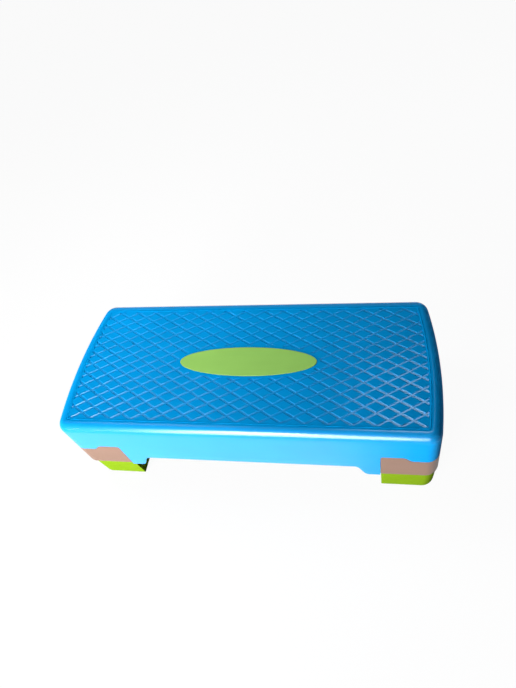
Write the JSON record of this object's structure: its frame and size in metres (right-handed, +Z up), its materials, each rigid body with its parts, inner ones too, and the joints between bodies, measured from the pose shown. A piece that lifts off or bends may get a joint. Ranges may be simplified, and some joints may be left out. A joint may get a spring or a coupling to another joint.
{
  "type": "aerobic step platform",
  "caption": "Low moulded exercise step with a rounded deck, raised diamond tread, oval badge, end feet and flip-out legs that set it at a high or a low height.",
  "frame": {"origin": "on the floor, at the middle of the step's footprint, with both legs standing out", "axes": "+X along the length, -Y the front long side, +Z up"},
  "size_m": [0.6796, 0.284, 0.2048],
  "materials": {
    "deck_blue": "glossy moulded polypropylene",
    "tread_blue": "satin moulded tread",
    "badge_green": "satin",
    "foot_grey": "satin warm grey",
    "leg_green": "satin lime green",
    "rubber": "matt black",
    "steel": "zinc plated"
  },
  "bodies": {
    "platform": {"deck": "deck_blue", "tread_panel": "tread_blue", "badge": "badge_green", "end_foot_left": "foot_grey", "foot_screws_left": "steel", "pivot_pin_left_front": "steel", "pivot_pin_left_back": "steel", "foot_pad_left_front": "rubber", "foot_pad_left_back": "rubber", "end_foot_right": "foot_grey", "foot_screws_right": "steel", "pivot_pin_right_front": "steel", "pivot_pin_right_back": "steel", "foot_pad_right_front": "rubber", "foot_pad_right_back": "rubber"},
    "left_leg": {"flip_leg_left": "leg_green", "leg_pad_left_front": "rubber", "leg_pad_left_back": "rubber"},
    "right_leg": {"flip_leg_right": "leg_green", "leg_pad_right_front": "rubber", "leg_pad_right_back": "rubber"}
  },
  "joints": [
    {"name": "left_leg_flip", "type": "hinge", "parent": "platform", "child": "left_leg", "pos_m": [-0.2225, 0, 0.082], "axis": [0, -1, 0], "range_deg": [0, 180]},
    {"name": "right_leg_flip", "type": "hinge", "parent": "platform", "child": "right_leg", "pos_m": [0.2225, 0, 0.082], "axis": [0, 1, 0], "range_deg": [0, 180]}
  ]
}
